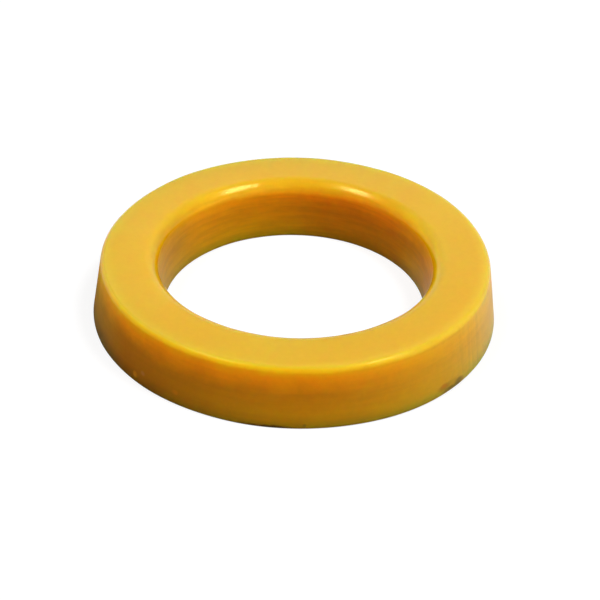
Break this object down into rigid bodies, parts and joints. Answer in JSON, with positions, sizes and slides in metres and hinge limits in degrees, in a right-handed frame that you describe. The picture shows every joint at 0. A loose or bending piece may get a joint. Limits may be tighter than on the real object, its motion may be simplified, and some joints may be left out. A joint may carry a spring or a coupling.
{
  "type": "toilet pan seal",
  "caption": "Cast wax sealing ring with a flat foot and crown, a leaning outside wall and a wide bore with a soft rim.",
  "frame": {"origin": "centre of the bore, level with the underside", "axes": "+Z along the bore, from the wide foot to the narrower crown; X and Y are alike"},
  "size_m": [0.1348, 0.1348, 0.021],
  "materials": {
    "wax": "satin"
  },
  "bodies": {
    "root": {"seal_ring": "wax"}
  },
  "joints": []
}
